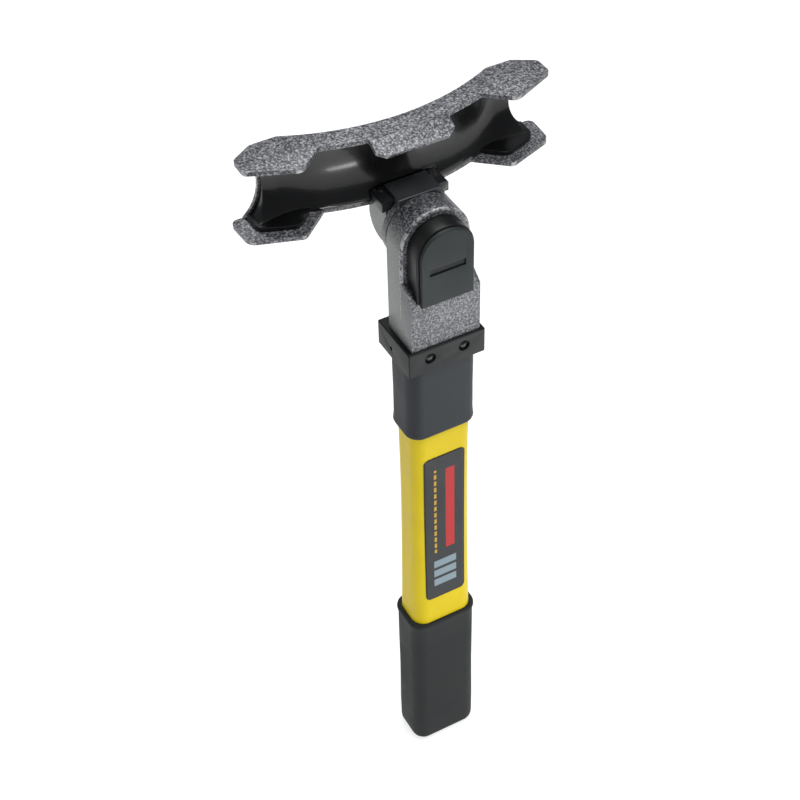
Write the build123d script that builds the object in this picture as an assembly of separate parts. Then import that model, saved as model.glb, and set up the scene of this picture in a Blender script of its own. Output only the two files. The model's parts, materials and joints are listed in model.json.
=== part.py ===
from build123d import *
import os
from math import sin, cos, radians

os.makedirs("parts", exist_ok=True)

# ---------------------------------------------------------------------------
# Steering wheel lock: a rubber lined cradle hooks over the wheel rim, and a
# long padded handle swivels on it. All sizes are millimetres.
# Working frame while modelling: x across, y away from the key face, z up,
# origin on the top face of the collar. Every piece is moved to the part's own
# frame (bottom centre of the whole lock) on export.
# ---------------------------------------------------------------------------
GRIP_BOTTOM = -407.6
Y_FRONT = -18.3
Y_BACK = 58.4
SHIFT = Location((0, -(Y_FRONT + Y_BACK) / 2, -GRIP_BOTTOM))

# swivel joint
SWIVEL_Z = 69.0
PIN_R = 6.0
BOLT_ORBIT = 18.5
BOLT_R = 3.0
STOP_ORBIT = 11.5
STOP_R = 1.5
FLANGE_DISC_R = 24.0
SHIM_R = 9.5
CLIP_Y = 37.0

# cast lock head
HEAD_HALF = 24.0
HEAD_FRONT = -15.6
HEAD_BACK = 13.8
ARCH_FRONT = -3.6
RAMP_LOW = 37.2
RAMP_HIGH = 46.8

# key face
BEZEL_R = 19.8
BEZEL_BOTTOM = 37.4
SHUTTER_R = 18.0
SHUTTER_Z = 69.6
SHUTTER_BOTTOM = 35.4
SHUTTER_BACK = -15.85
PLUG_R = 5.8
BODY_R = 9.5

# handle
HANDLE_Y = 1.8
CORE_W, CORE_D, CORE_WALL = 30.0, 16.0, 2.5
CORE_TOP, CORE_BOTTOM = 28.0, -395.0
COLLAR_W, COLLAR_H = 54.2, 19.0
COLLAR_FRONT, COLLAR_BACK = -17.2, 23.4
SLEEVE_W, SLEEVE_D, SLEEVE_R = 49.2, 32.4, 9.0
SLEEVE_BOTTOM = -80.0
GRIP_W, GRIP_D, GRIP_R = 51.0, 34.4, 10.4
GRIP_TOP = -268.0
INSET = 6.0
YELLOW = [(SLEEVE_BOTTOM + INSET, 44.0, 29.2, 8.8), (-150.0, 43.0, 28.4, 8.6),
          (-215.0, 44.2, 29.4, 9.0), (GRIP_TOP - INSET, 46.2, 31.2, 9.6)]
LABEL_W, LABEL_TOP, LABEL_BOTTOM, LABEL_T = 31.0, -102.0, -243.0, 0.45

# cradle
RIM_CY = 196.05
BACK_R = 154.4
PLATE_T = 3.0
WEB_T = 2.4
UPPER_TOP = 132.4
LOWER_TOP = 83.5
LINER_T = 1.8
LIP_OUT = 5.4
RECESS_R = 168.9
FLANGE_R = 162.6
NOTCH_X, NOTCH_Z, NOTCH_R = 115.5, 107.0, 30.0
WEB_BACK = Y_BACK
TAB_BEND_Y, TAB_LEN, TAB_ANGLE = 25.2, 11.6, 25.0
BRACKET_FRONT, BRACKET_STEP, BRACKET_BACK = 14.6, 20.5, 36.0
BRACKET_HALF, BRACKET_LOW, EAR_IN, EAR_BACK, EAR_ROUND = 20.0, 57.5, 12.8, 42.6, 14.0
SADDLE_HALF, SADDLE_TOP = 22.6, 90.6
SADDLE_SCREW_X, SADDLE_SCREW_Y, SADDLE_SCREW_LEN = 17.2, 32.8, 16.0
STRIKE_HALF, STRIKE_LOW, STRIKE_TOP, STRIKE_BACK = 14.2, 83.2, 93.0, 34.1

# end tabs: outline points, each with its corner radius
UPPER_TAB = [(50.0, 40.0, 0), (55.6, 34.8, 2), (71.0, 22.0, 6), (101.8, 36.0, 4), (101.8, 49.6, 4),
             (87.6, Y_BACK, 5), (66.0, Y_BACK, 0), (50.0, 50.0, 0)]
LOWER_TAB = [(48.0, 44.0, 0), (54.0, 38.4, 2), (70.8, 24.0, 4), (102.8, 35.4, 7), (104.2, WEB_BACK, 4),
             (60.0, WEB_BACK, 0), (48.0, 50.0, 0)]
LINER_TAB = [(56.0, 47.0, 0), (60.5, 40.6, 3), (71.6, 31.4, 6), (94.4, 40.2, 7), (95.0, WEB_BACK, 3),
             (62.0, WEB_BACK, 0)]


def rod_y(r, y0, y1, x=0.0, z=0.0):
    """Solid cylinder along y."""
    return Pos(x, (y0 + y1) / 2, z) * Rot(90, 0, 0) * Cylinder(r, abs(y1 - y0))


def rod_z(r, z0, z1, x=0.0, y=0.0):
    """Solid cylinder along z."""
    return Pos(x, y, (z0 + z1) / 2) * Cylinder(r, z1 - z0)


def block(x0, x1, y0, y1, z0, z1):
    return Pos((x0 + x1) / 2, (y0 + y1) / 2, (z0 + z1) / 2) * Box(x1 - x0, y1 - y0, z1 - z0)


def arch(r, cz, z0, y0, y1):
    """Arch-topped plate: straight sides from z0 up to cz, half round above, between y0 and y1."""
    return rod_y(r, y0, y1, z=cz) + block(-r, r, y0, y1, z0, cz)


def slab(w, d, r, z0, z1):
    """Rounded rectangular prism on the handle's axis."""
    return Pos(0, HANDLE_Y, z0) * extrude(RectangleRounded(w, d, r), z1 - z0)


def ring(r_in, r_out, z0, z1, half):
    """Arc band about the wheel's centre, cut square at x = +-half, near side only."""
    disc = rod_z(r_out, z0, z1, y=RIM_CY) - rod_z(r_in, z0 - 1, z1 + 1, y=RIM_CY)
    return disc & block(-half, half, 0, 75, z0 - 1, z1 + 1)


def outline(points):
    """Face from (x, y, corner radius) points."""
    face = make_face(Polyline([(x, y) for x, y, r in points], close=True))
    for x, y, r in points:
        if r:
            face = fillet(face.vertices().sort_by_distance((x, y, 0))[0], r)
    return face


def plate(points, z0, t):
    """Flat tab and its mirror image, with the wheel-side arc cut out of the back edge."""
    tab = Pos(0, 0, z0) * extrude(outline(points), t, dir=(0, 0, 1))
    return tab + mirror(tab, about=Plane.YZ) - rod_z(BACK_R, z0 - 1, z0 + t + 1, y=RIM_CY)


def notches(grow):
    """Fish-mouth cuts at the two ends of the web."""
    out = Part()
    for s in (1, -1):
        out += rod_y(NOTCH_R + grow, 30, 75, x=s * NOTCH_X, z=NOTCH_Z)
        out += block(min(s * 104, s * 130), max(s * 104, s * 130), 30, 75, 60, 150)
    return out


def web_corners():
    """Upper outer corners of the web, cut back to the slanting corner of the upper tab."""
    cut = make_face(Polyline([(85.0, Y_BACK), (101.8, 48.4), (120.0, 48.4), (120.0, 70.0), (85.0, 70.0)],
                             close=True))
    wedge = Pos(0, 0, NOTCH_Z) * extrude(cut, UPPER_TOP - PLATE_T - NOTCH_Z, dir=(0, 0, 1))
    return wedge + mirror(wedge, about=Plane.YZ)


def keep(solid, name):
    part = SHIFT * solid
    part.label = name
    export_step(part, f"parts/{name}.step")
    return part


# ---------------------------------------------------------------------------
# cradle
# ---------------------------------------------------------------------------
def cradle_shell():
    z_up = UPPER_TOP - PLATE_T
    z_low = LOWER_TOP - PLATE_T
    shell = ring(BACK_R, RECESS_R, z_up, UPPER_TOP, 56) + plate(UPPER_TAB, z_up, PLATE_T)
    shell += ring(BACK_R, FLANGE_R, z_low, LOWER_TOP, 60) + plate(LOWER_TAB, z_low, PLATE_T)
    shell += block(-26.0, 26.0, TAB_BEND_Y, 36, z_up, UPPER_TOP)
    corners = [(-26.0, 1, 0), (26.0, 1, 0), (26.0, -7.4, 2), (20.6, -TAB_LEN, 2), (-20.6, -TAB_LEN, 2),
               (-26.0, -7.4, 2)]
    lip = extrude(outline(corners), PLATE_T, dir=(0, 0, -1))
    shell += Pos(0, TAB_BEND_Y, UPPER_TOP) * Rot(TAB_ANGLE, 0, 0) * lip
    web = ring(BACK_R, BACK_R + WEB_T, LOWER_TOP, z_up, 73.5) & block(-80, 80, 0, WEB_BACK, LOWER_TOP, z_up)
    for s in (1, -1):
        web += block(min(s * 71.6, s * 96), max(s * 71.6, s * 96), WEB_BACK - WEB_T, WEB_BACK, LOWER_TOP, z_up)
    shell += web - notches(0) - web_corners()
    return shell - liner_rivets()


def trough(x):
    """Section of the moulded rubber at one x: a hollow face with a lip along each edge.

    Towards the ends the lower lip grows into the tab's pad and the upper lip fades out."""
    wall = min(RIM_CY - (BACK_R ** 2 - x ** 2) ** 0.5, WEB_BACK)
    low, high = LOWER_TOP, UPPER_TOP - PLATE_T
    thin = wall - WEB_T - LINER_T
    end = max(0.0, (x - 52.0) / 44.0)
    reach_low, reach_high = LIP_OUT + 7.0 * end, LIP_OUT * 0.9 * (1.0 - 0.8 * end)
    middle = low + (high - low) * (0.5 + 0.15 * end)
    face = [(x, thin - reach_low, low + 2.2)]
    face += [(x, thin - reach_low * k * k, middle - (middle - low - 2.2) * k) for k in (0.66, 0.33)]
    face += [(x, thin, middle)]
    face += [(x, thin - reach_high * k * k, middle + (high - middle) * k) for k in (0.5, 1.0)]
    back = [face[-1], (x, wall, high), (x, wall, low), (x, thin - reach_low, low), face[0]]
    edges = [Edge.make_line(p, q) for p, q in zip(back, back[1:])]
    return Face(Wire([Edge.make_spline([Vector(p) for p in face])] + edges))


def cradle_liner():
    liner = loft([trough(x) for x in (0, 12, 24, 36, 48, 58, 66, 73, 80, 88, 96)], ruled=True)
    liner += mirror(liner, about=Plane.YZ)
    liner -= notches(1.6) + web_corners()
    liner += plate(LINER_TAB, LOWER_TOP, 3.2)
    liner -= block(-SADDLE_HALF - 0.4, SADDLE_HALF + 0.4, 10, BRACKET_BACK + 0.3, 80, SADDLE_TOP + 0.3)
    liner -= strike_space(0.3)
    liner -= rod_z(BACK_R + WEB_T, 70, 140, y=RIM_CY)
    for s in (1, -1):
        liner -= block(min(s * 71.6, s * 110), max(s * 71.6, s * 110), WEB_BACK - WEB_T, 80, 70, 140)
    return liner - liner_rivets()


def liner_rivets():
    out = Part()
    r_web = BACK_R + WEB_T
    for a in (-20.0, -8.5, 8.5, 20.0):
        head = Cone(2.6, 3.4, 1.3, align=(Align.CENTER, Align.CENTER, Align.MIN))
        shank = Cylinder(1.6, WEB_T + 1.2, align=(Align.CENTER, Align.CENTER, Align.MIN))
        rivet = Pos(0, 0, BACK_R - 1.3 + 0.05) * head + Pos(0, 0, BACK_R) * shank
        out += Pos(0, RIM_CY, 108) * Rot(0, 0, a) * Rot(90, 0, 0) * rivet
    return out & block(-80, 80, 0, 75, 80, 130)


def strike_space(grow):
    """Room taken by the strike block in the bracket, saddle and liner."""
    return block(-STRIKE_HALF - grow, STRIKE_HALF + grow, BRACKET_FRONT, STRIKE_BACK + grow,
                 STRIKE_LOW, STRIKE_TOP + grow)


def saddle_shanks():
    out = Part()
    for s in (1, -1):
        out += rod_z(1.4, SADDLE_TOP - SADDLE_SCREW_LEN, SADDLE_TOP, x=s * SADDLE_SCREW_X, y=SADDLE_SCREW_Y)
    return out


def swivel_bracket():
    """Round flange against the head, with a body behind it that has two ears under the cradle."""
    low_plate = LOWER_TOP - PLATE_T
    side = outline([(BRACKET_STEP - 1, BRACKET_LOW, 0), (EAR_BACK, BRACKET_LOW, EAR_ROUND),
                    (EAR_BACK, low_plate, 0), (BRACKET_STEP - 1, low_plate, 0)])
    b = extrude(Plane.YZ * side, BRACKET_HALF, both=True)
    b -= block(-EAR_IN, EAR_IN, BRACKET_BACK, EAR_BACK + 1, BRACKET_LOW - 1, low_plate + 1)
    disc = rod_y(FLANGE_DISC_R, BRACKET_FRONT, BRACKET_STEP, z=SWIVEL_Z)
    b += chamfer(disc.edges().filter_by(GeomType.CIRCLE).sort_by(Axis.Y)[-1:], 0.8)
    b -= strike_space(0) + saddle_shanks()
    b -= rod_y(PIN_R + 0.05, 10, 40, z=SWIVEL_Z)
    b -= rod_y(BOLT_R + 0.3, 10, 26, z=SWIVEL_Z - BOLT_ORBIT)
    groove = rod_y(STOP_ORBIT + STOP_R + 0.3, 14, 18.8, z=SWIVEL_Z)
    groove -= rod_y(STOP_ORBIT - STOP_R - 0.3, 13, 19, z=SWIVEL_Z)
    groove -= block(-30, 30, 13, 19, SWIVEL_Z - 30, SWIVEL_Z)
    for s in (1, -1):
        groove += rod_y(STOP_R + 0.3, 14, 18.8, x=s * STOP_ORBIT, z=SWIVEL_Z)
    return b - groove


def bracket_saddle():
    """Block on top of the bracket that carries the cradle's lower plate and the strike block."""
    s = block(-SADDLE_HALF, SADDLE_HALF, BRACKET_STEP, BRACKET_BACK, LOWER_TOP, SADDLE_TOP)
    s = fillet(s.edges().filter_by(Axis.Y).group_by(Axis.Z)[-1], 1.5)
    s += block(-BRACKET_HALF, BRACKET_HALF, BRACKET_STEP, 33.0, LOWER_TOP - PLATE_T, LOWER_TOP)
    return s - strike_space(0) - saddle_shanks()


def saddle_screws():
    head = Cone(2.4, 1.5, 1.0, align=(Align.CENTER, Align.CENTER, Align.MIN))
    out = saddle_shanks()
    for s in (1, -1):
        out += Pos(s * SADDLE_SCREW_X, SADDLE_SCREW_Y, SADDLE_TOP) * head
    return out


def strike_block():
    s = strike_space(0)
    s = chamfer(s.edges().filter_by(Axis.X).group_by(Axis.Z)[-1], 0.5)
    return s - rod_y(BOLT_R + 0.3, 10, 26, z=SWIVEL_Z + BOLT_ORBIT)


# ---------------------------------------------------------------------------
# lock head and what is in it
# ---------------------------------------------------------------------------
def lock_head():
    h = arch(HEAD_HALF, SWIVEL_Z, 0, ARCH_FRONT, HEAD_BACK)
    h = fillet(h.edges().filter_by(GeomType.CIRCLE).sort_by(Axis.Y)[:1], 1.6)
    side = make_face(Polyline([(0, ARCH_FRONT + 1, 0), (0, HEAD_FRONT, 0), (0, HEAD_FRONT, RAMP_LOW),
                               (0, ARCH_FRONT, RAMP_HIGH), (0, ARCH_FRONT + 1, RAMP_HIGH)], close=True))
    h += Pos(-HEAD_HALF, 0, 0) * extrude(side, 2 * HEAD_HALF, dir=(1, 0, 0))
    h -= arch(BEZEL_R, SWIVEL_Z, BEZEL_BOTTOM, HEAD_FRONT - 5, ARCH_FRONT)
    h -= block(-CORE_W / 2, CORE_W / 2, HANDLE_Y - CORE_D / 2, HANDLE_Y + CORE_D / 2, -1, CORE_TOP)
    h -= rod_y(BODY_R, ARCH_FRONT - 1, -1.0, z=SWIVEL_Z)
    h -= rod_y(10.2, -1.0, 9.2, z=SWIVEL_Z)
    h -= rod_y(8.0, 9.2, 11.2, z=SWIVEL_Z) + rod_y(PIN_R, 11.0, 16, z=SWIVEL_Z)
    h -= rod_y(BOLT_R + 0.1, 0.6, 16, z=SWIVEL_Z - BOLT_ORBIT)
    h -= block(-1.9, 1.9, 0.6, 9.2, SWIVEL_Z - BOLT_ORBIT, SWIVEL_Z - 7)
    h -= rod_y(STOP_R, 10, 16, x=STOP_ORBIT, z=SWIVEL_Z)
    for z in (8.0, 19.0):
        h -= rod_y(2.5, -9.5, 16, z=z)
    for s in (1, -1):
        h -= rod_y(1.3, -6, -1.5, x=s * 8.0, z=42.5)
    return h


def swivel_pin():
    p = rod_y(8.0, 9.2, 11.2, z=SWIVEL_Z) + rod_y(PIN_R, 11.0, CLIP_Y + 2.8, z=SWIVEL_Z)
    p -= rod_y(9, CLIP_Y, CLIP_Y + 1.2, z=SWIVEL_Z) - rod_y(5.0, CLIP_Y - 1, CLIP_Y + 2, z=SWIVEL_Z)
    return p


def swivel_shim():
    return rod_y(SHIM_R, HEAD_BACK, BRACKET_FRONT, z=SWIVEL_Z) - rod_y(PIN_R, 12, 17, z=SWIVEL_Z)


def wave_washer():
    return rod_y(11.0, BRACKET_BACK, CLIP_Y, z=SWIVEL_Z) - rod_y(PIN_R, CLIP_Y - 3, CLIP_Y + 1, z=SWIVEL_Z)


def pin_clip():
    c = rod_y(8.6, CLIP_Y, CLIP_Y + 1.2, z=SWIVEL_Z) - rod_y(5.0, CLIP_Y - 1, CLIP_Y + 2, z=SWIVEL_Z)
    return c - block(-3.0, 3.0, CLIP_Y - 1, CLIP_Y + 2, SWIVEL_Z - 10, SWIVEL_Z)


def stop_pin():
    return rod_y(STOP_R, 10, 18.3, x=STOP_ORBIT, z=SWIVEL_Z)


def rail_grooves(grow, z0, z1):
    """T section of the two guide ribs behind the shutter, or of their slots when grown."""
    out = Part()
    for s in (1, -1):
        out += block(s * 14 - 0.6 - grow, s * 14 + 0.6 + grow, SHUTTER_BACK, -14.4 + grow, z0, z1)
        out += block(s * 14 - 1.4 - grow, s * 14 + 1.4 + grow, -14.4 - grow, -13.2 + grow, z0, z1)
    return out


def lock_bezel():
    b = arch(BEZEL_R, SWIVEL_Z, BEZEL_BOTTOM, HEAD_FRONT, ARCH_FRONT)
    b = fillet(b.edges().filter_by(GeomType.CIRCLE).sort_by(Axis.Y)[:1], 1.0)
    b -= rod_y(BODY_R, -13.5, 0, z=SWIVEL_Z)
    b -= rod_y(7.6, -20, -13.0, z=SWIVEL_Z)
    b -= rail_grooves(0.25, 37.7, 78.6)
    for s in (1, -1):
        b -= rod_y(1.3, -20, 0, x=s * 8.0, z=42.5) + rod_y(2.4, -20, -14.2, x=s * 8.0, z=42.5)
    return b


def bezel_screws():
    out = Part()
    for s in (1, -1):
        out += rod_y(1.3, -14.2, -1.5, x=s * 8.0, z=42.5) + rod_y(2.3, -15.5, -14.2, x=s * 8.0, z=42.5)
    return out


def dust_shutter():
    s = arch(SHUTTER_R, SHUTTER_Z, SHUTTER_BOTTOM, Y_FRONT, SHUTTER_BACK)
    s = fillet(s.edges().filter_by(GeomType.CIRCLE).sort_by(Axis.Y)[:1], 0.8)
    s -= block(-12.3, 12.3, Y_FRONT - 1, Y_FRONT + 1.0, 57.6, 62.6)
    return s + rail_grooves(0.0, 62.0, 78.0)


def lock_body():
    return rod_y(BODY_R, -13.5, -1.0, z=SWIVEL_Z) - rod_y(PLUG_R + 0.1, -14, 0, z=SWIVEL_Z) \
        - rod_y(7.6, -14, -13.0, z=SWIVEL_Z)


def key_plug():
    p = rod_y(PLUG_R, -13.2, -1.0, z=SWIVEL_Z)
    p -= block(-0.8, 0.8, -14, -5, SWIVEL_Z - 4.2, SWIVEL_Z + 4.2)
    return p - block(0, 1.7, -14, -5, SWIVEL_Z - 1.0, SWIVEL_Z + 1.6)


def plug_cam():
    """Cam disc behind the plug, with a stepped ramp that lifts the bolt's foot over a quarter turn."""
    c = rod_y(9.7, -1.0, 0.6, z=SWIVEL_Z)
    steps = 6
    for i in range(steps):
        a0 = 15 + i * 85 / steps
        h = (a0 - 10) / 15 + 0.3
        wedge = make_face(Polyline([(7.9 * sin(radians(a)), 0, -7.9 * cos(radians(a)))
                                    for a in (a0, a0 + 85 / steps)]
                                   + [(9.6 * sin(radians(a)), 0, -9.6 * cos(radians(a)))
                                      for a in (a0 + 85 / steps, a0)], close=True))
        c += Pos(0, 0.5, SWIVEL_Z) * extrude(wedge, h, dir=(0, 1, 0))
    return c


def lock_bolt():
    b = rod_y(BOLT_R, 0.9, HEAD_BACK - 0.3, z=SWIVEL_Z - BOLT_ORBIT)
    return b + block(-1.4, 1.4, 0.9, 2.9, SWIVEL_Z - BOLT_ORBIT, SWIVEL_Z - 8.2)


# ---------------------------------------------------------------------------
# handle
# ---------------------------------------------------------------------------
def handle_core():
    c = block(-CORE_W / 2, CORE_W / 2, HANDLE_Y - CORE_D / 2, HANDLE_Y + CORE_D / 2, CORE_BOTTOM, CORE_TOP)
    w, d = CORE_W / 2 - CORE_WALL, CORE_D / 2 - CORE_WALL
    c -= block(-w, w, HANDLE_Y - d, HANDLE_Y + d, CORE_BOTTOM - 1, CORE_TOP + 1)
    for z in (8.0, 19.0):
        c -= rod_y(2.5, -9.5, 16, z=z)
    return c


def core_pins():
    return rod_y(2.5, -9.5, HEAD_BACK - 0.2, z=8.0) + rod_y(2.5, -9.5, HEAD_BACK - 0.2, z=19.0)


def core_plug():
    w, d = CORE_W / 2 - CORE_WALL, CORE_D / 2 - CORE_WALL
    return block(-w, w, HANDLE_Y - d, HANDLE_Y + d, CORE_BOTTOM, CORE_BOTTOM + 12)


def collar():
    c = block(-COLLAR_W / 2, COLLAR_W / 2, COLLAR_FRONT, COLLAR_BACK, -COLLAR_H, 0)
    c = chamfer(c.edges(), 0.6)
    c -= block(-CORE_W / 2, CORE_W / 2, HANDLE_Y - CORE_D / 2, HANDLE_Y + CORE_D / 2, -30, 1)
    for s in (1, -1):
        c -= rod_y(3.9, COLLAR_FRONT - 1, COLLAR_FRONT + 1.8, x=s * 12.0, z=-8.0)
        c -= rod_y(1.6, COLLAR_FRONT, HANDLE_Y - CORE_D / 2, x=s * 12.0, z=-8.0)
    return c - Pos(-22, 6.0, -10.8) * Rot(0, 90, 0) * Cylinder(1.5, 14)


def collar_screws():
    out = Part()
    for s in (1, -1):
        dome = Sphere(4.0) & Rot(90, 0, 0) * Cylinder(3.0, 20) & block(-4, 4, -5, -2.3, -4, 4)
        out += Pos(s * 12.0, COLLAR_FRONT + 1.8 + 2.3, -8.0) * dome
        out += rod_y(1.6, COLLAR_FRONT + 1.7, HANDLE_Y - CORE_D / 2, x=s * 12.0, z=-8.0)
    return out


def set_screw():
    s = Pos(-20.0, 6.0, -10.8) * Rot(0, 90, 0) * Cylinder(1.5, 10)
    return s - Pos(-25.0, 6.0, -10.8) * Rot(0, 90, 0) * Cylinder(0.8, 4)


def core_slot(z0, z1):
    return block(-CORE_W / 2, CORE_W / 2, HANDLE_Y - CORE_D / 2, HANDLE_Y + CORE_D / 2, z0, z1)


def yellow_body(grow):
    faces = Sketch()
    for z, w, d, r in YELLOW:
        faces += Pos(0, HANDLE_Y, z) * RectangleRounded(w + 2 * grow, d + 2 * grow, r + grow)
    return loft(faces)


def upper_sleeve():
    s = slab(SLEEVE_W, SLEEVE_D, SLEEVE_R, SLEEVE_BOTTOM, -COLLAR_H)
    s = fillet(s.faces().sort_by(Axis.Z)[0].edges(), 1.2)
    return s - core_slot(-90, 0) - yellow_body(0)


def yellow_grip():
    return yellow_body(0) - core_slot(-300, -40)


def label_plate():
    zc, h = (LABEL_TOP + LABEL_BOTTOM) / 2, LABEL_TOP - LABEL_BOTTOM
    window = Pos(0, 0, zc) * Rot(90, 0, 0) * extrude(RectangleRounded(LABEL_W, h, 4.0), 30)
    return (yellow_body(LABEL_T) & window) - yellow_body(0)


def lower_grip():
    g = slab(GRIP_W, GRIP_D, GRIP_R, GRIP_BOTTOM, GRIP_TOP)
    g = fillet(g.faces().sort_by(Axis.Z)[0].edges(), 7.0)
    g = fillet(g.faces().sort_by(Axis.Z)[-1].edges(), 1.2)
    return g - core_slot(CORE_BOTTOM, -200) - yellow_body(0)


PIECES = {
    "cradle_shell": cradle_shell, "cradle_liner": cradle_liner, "liner_rivets": liner_rivets,
    "swivel_bracket": swivel_bracket, "bracket_saddle": bracket_saddle, "saddle_screws": saddle_screws,
    "strike_block": strike_block,
    "lock_head": lock_head, "swivel_pin": swivel_pin, "swivel_shim": swivel_shim,
    "wave_washer": wave_washer, "pin_clip": pin_clip, "stop_pin": stop_pin,
    "lock_bezel": lock_bezel, "bezel_screws": bezel_screws, "dust_shutter": dust_shutter,
    "lock_body": lock_body, "key_plug": key_plug, "plug_cam": plug_cam, "lock_bolt": lock_bolt,
    "handle_core": handle_core, "core_pins": core_pins, "core_plug": core_plug,
    "collar": collar, "collar_screws": collar_screws, "set_screw": set_screw,
    "upper_sleeve": upper_sleeve, "yellow_grip": yellow_grip, "label_plate": label_plate,
    "lower_grip": lower_grip,
}

for name, build in PIECES.items():
    part = keep(build(), name)
    box = part.bounding_box()
    print(f"{name:16s} solids {len(part.solids())} vol {part.volume:10.1f} "
          f"x {box.min.X:7.1f} {box.max.X:7.1f} y {box.min.Y:7.1f} {box.max.Y:7.1f} "
          f"z {box.min.Z:7.1f} {box.max.Z:7.1f}")
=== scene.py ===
import json
import math

import bmesh
import bpy
from mathutils import Matrix, Vector
from mathutils.bvhtree import BVHTree


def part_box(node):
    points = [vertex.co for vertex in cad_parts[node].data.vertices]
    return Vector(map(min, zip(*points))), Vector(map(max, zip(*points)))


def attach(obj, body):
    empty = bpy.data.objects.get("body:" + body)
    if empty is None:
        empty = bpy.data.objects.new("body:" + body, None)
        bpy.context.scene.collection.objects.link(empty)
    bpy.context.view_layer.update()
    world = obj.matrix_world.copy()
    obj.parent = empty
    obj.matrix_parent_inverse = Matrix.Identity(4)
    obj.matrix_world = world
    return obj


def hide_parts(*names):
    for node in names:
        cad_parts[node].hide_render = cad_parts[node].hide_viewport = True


# Steering wheel lock. The CAD nodes give every position; the pieces made here are the same
# parts with moulded, cast and painted surfaces.
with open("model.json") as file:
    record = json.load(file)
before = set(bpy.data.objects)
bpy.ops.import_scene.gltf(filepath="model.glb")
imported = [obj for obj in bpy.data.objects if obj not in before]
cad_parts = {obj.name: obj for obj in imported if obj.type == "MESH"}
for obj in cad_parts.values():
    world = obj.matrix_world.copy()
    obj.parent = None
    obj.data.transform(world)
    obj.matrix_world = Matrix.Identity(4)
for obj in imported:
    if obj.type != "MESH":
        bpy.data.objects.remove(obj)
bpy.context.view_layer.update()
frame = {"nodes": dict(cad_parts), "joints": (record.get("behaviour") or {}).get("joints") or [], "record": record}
NODES = frame["nodes"]
BODY_OF = {n: b for b, ns in frame["record"]["behaviour"]["bodies"].items() for n in ns}
SLOT_OF = {s["node"]: s["material_slot"] for s in frame["record"]["subparts"]}
SWIVEL = Vector(frame["joints"][0]["pos_m"])
COLLAR_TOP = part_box("collar")[1].z
MM = 0.001


# ---------------------------------------------------------------------------
# camera, floor and light
# ---------------------------------------------------------------------------
IMAGE_PX = 800
CAM_AZIMUTH = -27.56
CAM_ELEVATION = 43.76
CAM_ROLL = -1.66
CAM_FOCAL_PX = 1723.0
CAM_DISTANCE = 1.0708
CAM_OFFSET_PX = (433.64, 326.46)  # where the middle of the collar's top shows


def make_camera():
    az, el, roll = (math.radians(a) for a in (CAM_AZIMUTH, CAM_ELEVATION, CAM_ROLL))
    back = Vector((math.sin(az) * math.cos(el), -math.cos(az) * math.cos(el), math.sin(el)))
    right = Vector((math.cos(az), math.sin(az), 0))
    up = back.cross(right)
    cam_x = math.cos(roll) * right + math.sin(roll) * up
    cam_y = math.cos(roll) * up - math.sin(roll) * right
    off_x = (CAM_OFFSET_PX[0] - IMAGE_PX / 2) / CAM_FOCAL_PX
    off_y = (CAM_OFFSET_PX[1] - IMAGE_PX / 2) / CAM_FOCAL_PX
    origin = Vector((0, SWIVEL.y, COLLAR_TOP))
    place = origin - CAM_DISTANCE * (-back + off_x * cam_x - off_y * cam_y)
    data = bpy.data.cameras.new("camera")
    data.sensor_width = 36.0
    data.lens = CAM_FOCAL_PX * data.sensor_width / IMAGE_PX
    data.clip_start, data.clip_end = 0.05, 30.0
    cam = bpy.data.objects.new("camera", data)
    rows = [(cam_x[i], cam_y[i], back[i], place[i]) for i in range(3)] + [(0, 0, 0, 1)]
    cam.matrix_world = Matrix(rows)
    bpy.context.scene.collection.objects.link(cam)
    bpy.context.scene.camera = cam


def area_light(name, azimuth, elevation, distance, size, power, aim=(0, 0, 0.42)):
    """Soft box that looks at aim from that direction. Azimuth 0 is in front of the key face."""
    data = bpy.data.lights.new(name, "AREA")
    data.shape = "RECTANGLE"
    data.size, data.size_y = size
    data.energy = power
    lamp = bpy.data.objects.new(name, data)
    a, e = math.radians(azimuth), math.radians(elevation)
    out = Vector((math.sin(a) * math.cos(e), -math.cos(a) * math.cos(e), math.sin(e)))
    lamp.location = Vector(aim) + out * distance
    lamp.rotation_mode = "QUATERNION"
    lamp.rotation_quaternion = out.to_track_quat("Z", "Y")
    bpy.context.scene.collection.objects.link(lamp)
    return lamp


FLOOR_HALF = 4.0
FLOOR_GREY = 0.45
FLOOR_GLOW = 0.78  # keeps the floor as pale as a studio sweep
WORLD_COLOR, WORLD_STRENGTH = (0.93, 0.95, 1.0, 1), 0.18
# name, azimuth, elevation, distance, size, power
SOFT_BOXES = (("key", 35, 65, 1.8, (0.8, 0.7), 20), ("left", -112, 30, 1.5, (0.3, 0.6), 1.8),
              ("rear_top", 165, 66, 1.5, (0.7, 0.5), 13))


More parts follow.
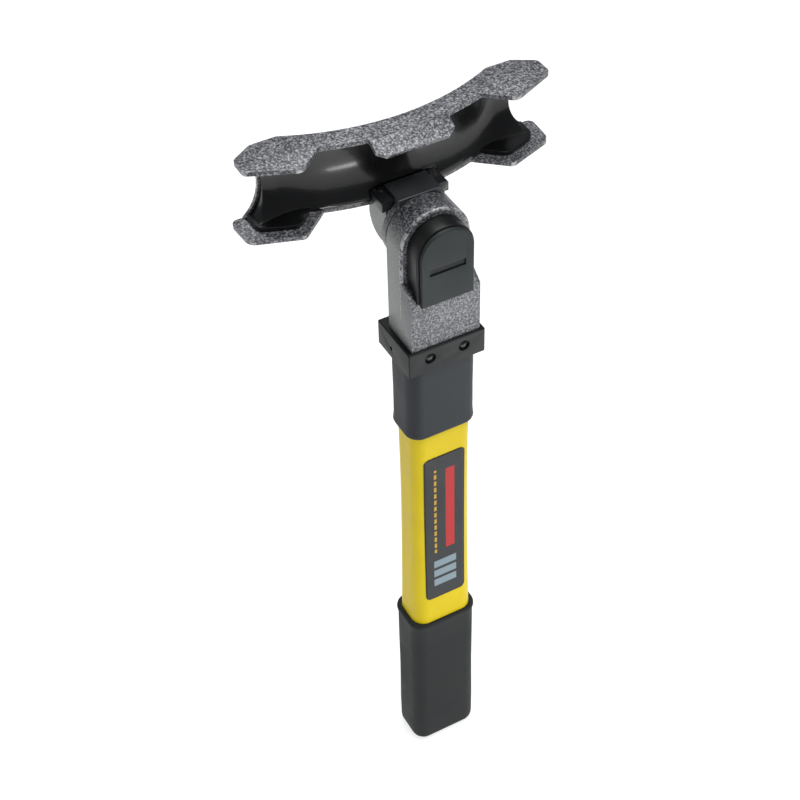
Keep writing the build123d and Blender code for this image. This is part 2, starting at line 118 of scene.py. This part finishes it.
def make_stage():
    mesh = bpy.data.meshes.new("floor")
    s = FLOOR_HALF
    mesh.from_pydata([(-s, -s, 0), (s, -s, 0), (s, s, 0), (-s, s, 0)], [], [(0, 1, 2, 3)])
    floor = bpy.data.objects.new("floor", mesh)
    bpy.context.scene.collection.objects.link(floor)
    mat = bpy.data.materials.new("floor")
    mat.use_nodes = True
    shader = mat.node_tree.nodes["Principled BSDF"]
    shader.inputs["Base Color"].default_value = (FLOOR_GREY, FLOOR_GREY, FLOOR_GREY, 1)
    shader.inputs["Roughness"].default_value = 0.9
    shader.inputs["Specular IOR Level"].default_value = 0.1
    shader.inputs["Emission Color"].default_value = (1, 1, 1, 1)
    shader.inputs["Emission Strength"].default_value = FLOOR_GLOW
    mesh.materials.append(mat)
    world = bpy.data.worlds.new("world")
    world.use_nodes = True
    back = world.node_tree.nodes["Background"]
    back.inputs["Color"].default_value = WORLD_COLOR
    back.inputs["Strength"].default_value = WORLD_STRENGTH
    bpy.context.scene.world = world
    for light in SOFT_BOXES:
        area_light(*light)
    strip = area_light("strip", 18, -43, 0.66, (0.6, 0.06), 0.9, aim=(0, 0.016, 0.512))
    strip.visible_camera = False
    bpy.context.scene.view_settings.view_transform = "Standard"


# ---------------------------------------------------------------------------
# materials
# ---------------------------------------------------------------------------
class Shade:
    """A node material with a few short cuts for building its tree."""

    def __init__(self, name, rough, metallic=0.0, specular=0.5, coat=0.0, coat_rough=0.1):
        self.mat = bpy.data.materials.new(name)
        self.mat.use_nodes = True
        self.tree = self.mat.node_tree
        self.shader = self.tree.nodes["Principled BSDF"]
        for socket, value in (("Roughness", rough), ("Metallic", metallic),
                              ("Specular IOR Level", specular), ("Coat Weight", coat),
                              ("Coat Roughness", coat_rough)):
            self.shader.inputs[socket].default_value = value
        self.coord = self.add("ShaderNodeTexCoord").outputs["Object"]
        self.normal = None

    def add(self, kind, props=None, **inputs):
        node = self.tree.nodes.new(kind)
        for key, value in (props or {}).items():
            setattr(node, key, value)
        for key, value in inputs.items():
            socket = node.inputs[int(key[1:])] if key[0] == "i" and key[1:].isdigit() else node.inputs[key]
            if isinstance(value, bpy.types.NodeSocket):
                self.tree.links.new(value, socket)
            else:
                socket.default_value = value
        return node

    def noise(self, scale, detail=2.0, rough=0.5, distort=0.0, coord=None):
        node = self.add("ShaderNodeTexNoise", Vector=coord or self.coord, Scale=scale,
                        Detail=detail, Roughness=rough, Distortion=distort)
        return node.outputs["Fac"]

    def ramp(self, fac, stops, interpolation="LINEAR"):
        node = self.add("ShaderNodeValToRGB", Fac=fac)
        node.color_ramp.interpolation = interpolation
        marks = node.color_ramp.elements
        while len(marks) < len(stops):
            marks.new(0.5)
        for mark, (place, color) in zip(marks, stops):
            mark.position = place
            mark.color = (*color, 1) if hasattr(color, "__len__") else (color, color, color, 1)
        return node.outputs["Color"]

    def math(self, op, a, b=0.0):
        return self.add("ShaderNodeMath", {"operation": op}, i0=a, i1=b).outputs[0]

    def span(self, fac, low, high, out_low, out_high):
        node = self.add("ShaderNodeMapRange", i0=fac, i1=low, i2=high, i3=out_low, i4=out_high)
        return node.outputs[0]

    def mix(self, fac, a, b, blend="MIX"):
        node = self.add("ShaderNodeMix", {"data_type": "RGBA", "blend_type": blend}, i0=fac, i6=a, i7=b)
        return node.outputs[2]

    def bump(self, height, strength, depth):
        inputs = dict(Height=height, Strength=strength, Distance=depth)
        if self.normal is not None:
            inputs["Normal"] = self.normal
        self.normal = self.add("ShaderNodeBump", **inputs).outputs["Normal"]

    def join(self, **links):
        for name, value in links.items():
            self.tree.links.new(value, self.shader.inputs[name.replace("_", " ")])
        if self.normal is not None:
            self.tree.links.new(self.normal, self.shader.inputs["Normal"])
        return self.mat


def rgba(r, g, b):
    return (r, g, b, 1.0)


def hammertone():
    """Speckled paint. Faces turned to the sides are painted a smooth lighter grey with little of the speckle, a
    painted sheen that stands for the floor's reflection.
    """
    s = Shade("hammertone", 0.46, metallic=0.35, specular=0.45, coat=0.15, coat_rough=0.25)
    grain = s.noise(760, 3.0, 0.6, 0.3)
    cells = s.add("ShaderNodeTexVoronoi", {"feature": "SMOOTH_F1"}, Vector=s.coord, Scale=560,
                  Smoothness=0.5).outputs["Distance"]
    field = s.math("SUBTRACT", grain, s.math("MULTIPLY", cells, 0.16))
    color = s.ramp(field, [(0.28, (0.026, 0.027, 0.031)), (0.38, (0.074, 0.076, 0.084)),
                           (0.46, (0.155, 0.158, 0.170)), (0.56, (0.325, 0.330, 0.345))])
    patch = s.span(s.noise(60, 2.0), 0.3, 0.7, 0.90, 1.08)
    color = s.mix(1.0, color, s.add("ShaderNodeCombineColor", i0=patch, i1=patch, i2=patch).outputs[0],
                  "MULTIPLY")
    facing = s.add("ShaderNodeSeparateXYZ", i0=s.add("ShaderNodeTexCoord").outputs["Normal"]).outputs[0]
    # painted sheen: faces turned along x are mixed towards a smooth lighter grey, as if lit by the floor's
    # reflection
    side_sheen = s.span(s.math("ABSOLUTE", facing), 0.75, 0.97, 0, 0.72)
    color = s.mix(side_sheen, color, rgba(0.185, 0.190, 0.186))
    axes = s.add("ShaderNodeSeparateXYZ", i0=s.coord).outputs
    primer = s.math("MULTIPLY", s.span(axes[1], SWIVEL.y + 0.0212, SWIVEL.y + 0.0216, 0, 0.92),
                    s.span(axes[2], SWIVEL.z + 0.0108, SWIVEL.z + 0.0112, 1, 0))
    primer = s.math("MULTIPLY", primer, s.span(s.math("ABSOLUTE", facing), 0.5, 0.8, 1, 0))
    color = s.mix(primer, color, rgba(0.012, 0.012, 0.013))
    # narrow bent bevel strips are mixed in patches towards light grey: worn bare metal and a painted edge
    # highlight
    worn_edge_highlight = s.add("ShaderNodeAttribute", {"attribute_name": "edge"}).outputs["Fac"]
    worn_edge_highlight = s.math("MULTIPLY", worn_edge_highlight, s.span(s.noise(330, 3.0, 0.7), 0.43, 0.55, 0, 0.62))
    color = s.mix(worn_edge_highlight, color, rgba(0.60, 0.60, 0.61))
    s.bump(field, 0.45, 0.00018)
    s.bump(s.noise(120, 2.0), 0.15, 0.0004)
    return s.join(Base_Color=color, Roughness=s.span(grain, 0.3, 0.7, 0.38, 0.55))


def plain(name, color, rough, bump_scale=900.0, bump=0.15, depth=0.0001, vary=0.12, metallic=0.0,
          specular=0.5, coat=0.0, wear=0.0):
    """Moulded or painted surface: fine grain, slight mottling and a few rubbed spots."""
    s = Shade(name, rough, metallic, specular, coat)
    cloud = s.noise(45, 3.0, 0.6)
    low = rgba(*(c * (1 - vary) for c in color))
    high = rgba(*(c * (1 + vary) for c in color))
    base = s.mix(s.span(cloud, 0.3, 0.7, 0, 1), low, high)
    if wear:
        spots = s.span(s.noise(210, 4.0, 0.75), 0.62, 0.72, 0, wear)
        base = s.mix(spots, base, rgba(*(min(1, c * 1.9 + 0.02) for c in color)))
    s.bump(s.noise(bump_scale, 2.0, 0.6), bump, depth)
    return s.join(Base_Color=base, Roughness=s.span(cloud, 0.3, 0.7, rough * 0.88, rough * 1.12))


def liner_rubber():
    """Glossy moulded rubber with a slightly wavy surface."""
    s = Shade("liner_rubber", 0.24, specular=0.35, coat=0.40, coat_rough=0.09)
    cloud = s.noise(38, 3.0, 0.6)
    base = s.mix(s.span(cloud, 0.3, 0.7, 0, 1), rgba(0.003, 0.0032, 0.0034), rgba(0.006, 0.0064, 0.0068))
    s.bump(s.noise(38, 2.0, 0.5), 0.14, 0.0016)
    s.bump(s.noise(1500, 2.0, 0.5), 0.06, 0.0001)
    return s.join(Base_Color=base, Roughness=s.span(cloud, 0.3, 0.7, 0.16, 0.26))


BRUSH_STRETCH = (60, 1800, 60)


def brushed(name, color, rough):
    """Bare metal with fine drawn lines."""
    s = Shade(name, rough, metallic=1.0)
    lines = s.add("ShaderNodeVectorMath", {"operation": "MULTIPLY"}, i0=s.coord, i1=BRUSH_STRETCH).outputs[0]
    grain = s.noise(1.0, 3.0, 0.6, coord=lines)
    base = s.mix(s.span(grain, 0.3, 0.7, 0, 1), rgba(*(c * 0.82 for c in color)), rgba(*color))
    s.bump(grain, 0.12, 0.00005)
    return s.join(Base_Color=base, Roughness=s.span(grain, 0.3, 0.7, rough * 0.8, rough * 1.25))


def grip_yellow():
    """Yellow vinyl with soft waves and a few dark specks."""
    s = Shade("grip_yellow", 0.42, specular=0.16)
    cloud = s.noise(30, 3.0, 0.55)
    base = s.mix(s.span(cloud, 0.3, 0.7, 0, 1), rgba(0.74, 0.56, 0.004), rgba(0.80, 0.615, 0.006))
    specks = s.span(s.noise(420, 3.0, 0.7), 0.68, 0.76, 0, 0.35)
    base = s.mix(specks, base, rgba(0.62, 0.42, 0.02))
    s.bump(s.noise(26, 2.0), 0.25, 0.0008)
    s.bump(s.noise(1100, 2.0), 0.10, 0.0001)
    return s.join(Base_Color=base, Roughness=s.span(cloud, 0.3, 0.7, 0.33, 0.45))


def band(s, value, centre, half, soft=0.00015):
    """1 within half of centre, 0 outside."""
    off = s.math("ABSOLUTE", s.math("SUBTRACT", value, centre))
    return s.span(off, half - soft, half + soft, 1.0, 0.0)


def shutter_plastic():
    """Dark plastic; the floor of the finger slot is darkened as painted shade in the recess."""
    s = Shade("face_plastic", 0.5, specular=0.2)
    axes = s.add("ShaderNodeSeparateXYZ", i0=s.coord).outputs
    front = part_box("dust_shutter")[0].y
    cloud = s.span(s.noise(45, 3.0, 0.6), 0.3, 0.7, 0, 1)
    base = s.mix(cloud, rgba(0.020, 0.026, 0.026), rgba(0.024, 0.031, 0.031))
    # painted shade: the finger slot's floor is darkened where the recess is in shade
    floor = s.span(axes[1], front + 0.0004, front + 0.0007, 0, 1)
    floor = s.math("MULTIPLY", floor, band(s, axes[2], COLLAR_TOP + 0.0601, 0.0026))
    floor = s.math("MULTIPLY", floor, band(s, axes[0], 0.0, 0.0125))
    base = s.mix(floor, base, rgba(0.007, 0.008, 0.008))
    s.bump(s.noise(1300, 2.0, 0.6), 0.12, 0.0001)
    return s.join(Base_Color=base, Roughness=s.span(cloud, 0.0, 1.0, 0.44, 0.56))


def label_print():
    """Dark film with a plain stripe, a row of short dashes and three plain bars."""
    s = Shade("label_film", 0.40, specular=0.2)
    axes = s.add("ShaderNodeSeparateXYZ", i0=s.coord).outputs
    x, z = axes[0], axes[2]
    low, high = (v.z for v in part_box("label_plate"))
    cloud = s.span(s.noise(45, 3.0, 0.6), 0.3, 0.7, 0, 1)
    base = s.mix(cloud, rgba(0.032, 0.034, 0.037), rgba(0.042, 0.044, 0.047))
    edge = s.math("MAXIMUM", s.math("SUBTRACT", 1.0, band(s, x, 0.0, 0.0148)),
                  s.math("SUBTRACT", 1.0, band(s, z, (low + high) / 2, (high - low) / 2 - 0.0008)))
    base = s.mix(edge, base, rgba(0.012, 0.013, 0.014))
    stripe = s.math("MULTIPLY", band(s, x, 0.0042, 0.0034), band(s, z, low + 0.088, 0.039))
    base = s.mix(stripe, base, rgba(0.52, 0.030, 0.030))
    pitch = s.math("FRACT", s.math("MULTIPLY", z, 1 / 0.0062))
    dash = s.math("MULTIPLY", s.span(pitch, 0.66, 0.70, 1.0, 0.0), band(s, x, -0.0072, 0.0009))
    base = s.mix(s.math("MULTIPLY", dash, band(s, z, low + 0.088, 0.041)), base, rgba(0.62, 0.36, 0.03))
    for k in range(3):
        bar = s.math("MULTIPLY", band(s, x, 0.0, 0.0088), band(s, z, low + 0.035 - 0.0095 * k, 0.0034))
        base = s.mix(bar, base, rgba(0.25, 0.33, 0.38))
    s.bump(s.noise(900, 2.0), 0.04, 0.00005)
    return s.join(Base_Color=base, Roughness=s.span(cloud, 0.0, 1.0, 0.30, 0.38))


make_camera()
make_stage()

MATS = {
    "hammertone": hammertone(),
    "liner_rubber": liner_rubber(),
    "black_casting": plain("black_casting", (0.010, 0.011, 0.0115), 0.38, 500, 0.25, 0.0002, coat=0.1,
                           wear=0.3),
    "strike_steel": plain("strike_steel", (0.042, 0.045, 0.049), 0.42, 700, 0.18, 0.0001, metallic=0.3),
    "zinc": brushed("zinc", (0.62, 0.62, 0.63), 0.3),
    "face_plastic": shutter_plastic(),
    "bezel_plastic": plain("bezel_plastic", (0.0035, 0.004, 0.004), 0.42, 1300, 0.12, 0.0001, specular=0.3),
    "brass": brushed("brass", (0.72, 0.53, 0.24), 0.28),
    "collar_paint": plain("collar_paint", (0.0085, 0.0105, 0.011), 0.46, 620, 0.2, 0.00015, specular=0.24,
                          wear=0.25),
    "black_screw": plain("black_screw", (0.020, 0.021, 0.022), 0.22, 900, 0.05, 0.00005, metallic=0.4),
    "sleeve_rubber": plain("sleeve_rubber", (0.034, 0.039, 0.045), 0.50, 1400, 0.10, 0.0001, specular=0.15),
    "grip_yellow": grip_yellow(),
    "label_film": label_print(),
    "grip_rubber": plain("grip_rubber", (0.024, 0.027, 0.0275), 0.62, 1200, 0.2, 0.0001, specular=0.15),
    "core_steel": brushed("core_steel", (0.5, 0.5, 0.5), 0.35),
}


# ---------------------------------------------------------------------------
# pieces
# ---------------------------------------------------------------------------
SMOOTH_ANGLE = 32.0


def finish_piece(bm, name, node):
    """Turns a bmesh into a shown piece that stands for one CAD node."""
    mesh = bpy.data.meshes.new(name)
    bm.to_mesh(mesh)
    bm.free()
    mesh.materials.append(MATS[SLOT_OF[node]])
    mesh.polygons.foreach_set("use_smooth", [True] * len(mesh.polygons))
    mesh.set_sharp_from_angle(angle=math.radians(SMOOTH_ANGLE))
    piece = bpy.data.objects.new(name, mesh)
    bpy.context.scene.collection.objects.link(piece)
    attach(piece, BODY_OF[node])
    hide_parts(node)
    return piece


BEVEL_SEGMENTS = 3
SHARP_ANGLE = 28.0   # edges that bend more than this are rounded over
FLAT_ANGLE = 0.4     # neighbouring triangles within this are merged first
WORN_HIGHLIGHT_ANGLE = 5.0     # narrow faces that bend more than this along their length show bare metal and a painted edge highlight
LONG_SIDE = 0.15     # least part of a face's outline that counts as its length
STRAY = 0.6          # vertices that end up further off than this part of the width are put back
RINGED = ("lock_bezel", "swivel_bracket")  # flat faces with a hole in them, which stay in triangles
SLIDING = ("lock_bezel", "dust_shutter")  # inner corners stay sharp, so that the shutter slides freely


def eased(node, width):
    """The CAD node's own shape with every sharp edge rounded over by width."""
    bm = bmesh.new()
    bm.from_mesh(NODES[node].data)
    bmesh.ops.remove_doubles(bm, verts=bm.verts, dist=1e-6)
    skin = BVHTree.FromBMesh(bm)
    if node not in RINGED:
        bmesh.ops.dissolve_limit(bm, angle_limit=math.radians(FLAT_ANGLE), verts=bm.verts, edges=bm.edges)
    worn_edge_highlight = bm.faces.layers.float.new("edge")
    edges = [e for e in bm.edges if len(e.link_faces) == 2
             and e.calc_face_angle(0) > math.radians(SHARP_ANGLE)
             and (e.is_convex or node not in SLIDING)]
    bmesh.ops.bevel(bm, geom=edges, offset=width, segments=BEVEL_SEGMENTS, profile=0.5, affect="EDGES",
                    clamp_overlap=True)
    bm.normal_update()
    # narrow bevel strips bent along their length are flagged for worn bare metal and a painted edge highlight
    for face in bm.faces:
        around = sum(e.calc_length() for e in face.edges)
        strip = 2 * face.calc_area() / around
        bent = any(len(e.link_faces) == 2 and e.is_convex and e.calc_length() > LONG_SIDE * around
                   and e.calc_face_angle(0) > math.radians(WORN_HIGHLIGHT_ANGLE) for e in face.edges)
        face[worn_edge_highlight] = 1.0 if bent and strip < MM else 0.0
    for vert in bm.verts:
        spot, _, _, gap = skin.find_nearest(vert.co)
        if gap > STRAY * width:
            vert.co = spot
    return finish_piece(bm, node + "_eased", node)


def rounded_ring(bm, z, w, d, r, centre_y, per_corner=9):
    """One ring of vertices around a rounded rectangle, w by d with corner radius r."""
    verts = []
    for cx, cy, start in ((1, 1, 0), (-1, 1, 90), (-1, -1, 180), (1, -1, 270)):
        for k in range(per_corner):
            a = math.radians(start + 90 * k / (per_corner - 1))
            x = cx * (w / 2 - r) + r * math.cos(a)
            y = cy * (d / 2 - r) + r * math.sin(a)
            verts.append(bm.verts.new((x, centre_y + y, z)))
    return verts


def moulded_sleeve(name, node, rows):
    """Rubber sleeve skinned through rows of (height above the node's bottom, growth), in metres.

    Growth is added to the node's own width and depth, so a negative value is inside it."""
    low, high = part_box(node)
    w, d = high.x - low.x, high.y - low.y
    radius = 0.0098
    bm = bmesh.new()
    rings = [rounded_ring(bm, low.z + h, w + 2 * g, d + 2 * g, max(radius + g, 0.002), (low.y + high.y) / 2)
             for h, g in rows]
    for lower, upper in zip(rings, rings[1:]):
        for i in range(len(lower)):
            j = (i + 1) % len(lower)
            bm.faces.new((lower[i], lower[j], upper[j], upper[i]))
    bm.faces.new(list(reversed(rings[0])))
    bm.faces.new(rings[-1])
    return finish_piece(bm, name, node)


def quarter(radius, steps=7):
    """Rows that round the bottom edge over."""
    angles = [math.radians(90 * k / (steps - 1)) for k in range(steps)]
    return [(radius * (1 - math.cos(a)), -radius * (1 - math.sin(a))) for a in angles]


for node, obj in NODES.items():
    obj.data.materials.clear()
    obj.data.materials.append(MATS[SLOT_OF[node]])

EDGE_MM = {"cradle_shell": 0.45, "lock_head": 0.8, "swivel_bracket": 0.6, "bracket_saddle": 0.7,
           "strike_block": 0.5, "collar": 0.5, "lock_bezel": 0.5, "dust_shutter": 0.5, "cradle_liner": 0.9}
for node, width in EDGE_MM.items():
    eased(node, width * MM)

# the closed grip: rounded foot, slightly waisted sides and a rolled lip at the top
grip_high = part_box("lower_grip")[1].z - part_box("lower_grip")[0].z
grip_sides = [(30 * MM, 0.15 * MM), (70 * MM, -0.25 * MM), (110 * MM, -0.1 * MM)]
grip_lip = [(grip_high - below * MM, growth * MM)
            for below, growth in ((6.5, -0.1), (4.2, 0.5), (2.6, 0.8), (1.0, 0.55), (0.2, -0.2), (0, -1.0))]
grip_rows = quarter(7 * MM) + grip_sides + grip_lip
moulded_sleeve("lower_grip_moulded", "lower_grip", grip_rows)
# the sleeve under the collar: a rolled lip at the bottom, straight above it
sleeve_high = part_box("upper_sleeve")[1].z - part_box("upper_sleeve")[0].z
sleeve_rows = [(0, -1.6 * MM), (0.3 * MM, -0.7 * MM), (1.0 * MM, 0.0), (2.4 * MM, 0.45 * MM),
               (4.5 * MM, 0.2 * MM), (8 * MM, -0.1 * MM), (30 * MM, -0.2 * MM), (50 * MM, 0.0),
               (sleeve_high, 0.0)]
moulded_sleeve("upper_sleeve_moulded", "upper_sleeve", sleeve_rows)
